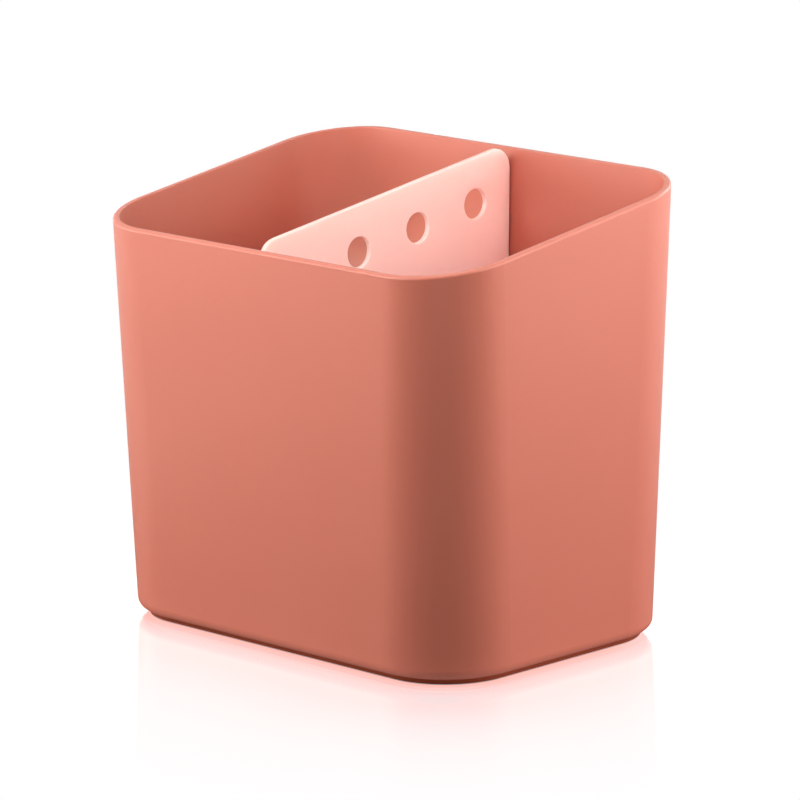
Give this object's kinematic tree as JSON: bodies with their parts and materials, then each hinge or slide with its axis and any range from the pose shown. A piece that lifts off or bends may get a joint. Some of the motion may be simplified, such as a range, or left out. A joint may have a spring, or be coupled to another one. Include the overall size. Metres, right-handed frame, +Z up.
{
  "type": "cutlery drainer",
  "caption": "Tapered rounded-rectangular open container with a sloping rim, a lift-out perforated drain floor and an upright divider plate pierced by round holes.",
  "frame": {"origin": "on the surface it stands on, under the middle of the container's base", "axes": "+Z up, +X along the longer side, to the right when the low wall faces you, +Y from the low front wall to the high back wall"},
  "size_m": [0.1398, 0.0992, 0.1252],
  "materials": {
    "coral_plastic": "satin moulded plastic, opaque coral",
    "pink_plastic": "satin moulded plastic, pale pink, lets a little light through"
  },
  "bodies": {
    "container": {"container": "coral_plastic"},
    "drain_floor": {"drain_floor": "pink_plastic"},
    "divider": {"divider": "pink_plastic"}
  },
  "joints": [
    {"name": "drain_floor_lift", "type": "slide", "parent": "container", "child": "drain_floor", "axis": [0, 0, 1], "range_m": [0, 0.13]},
    {"name": "divider_lift", "type": "slide", "parent": "drain_floor", "child": "divider", "axis": [0, 0, 1], "range_m": [0, 0.115]}
  ]
}
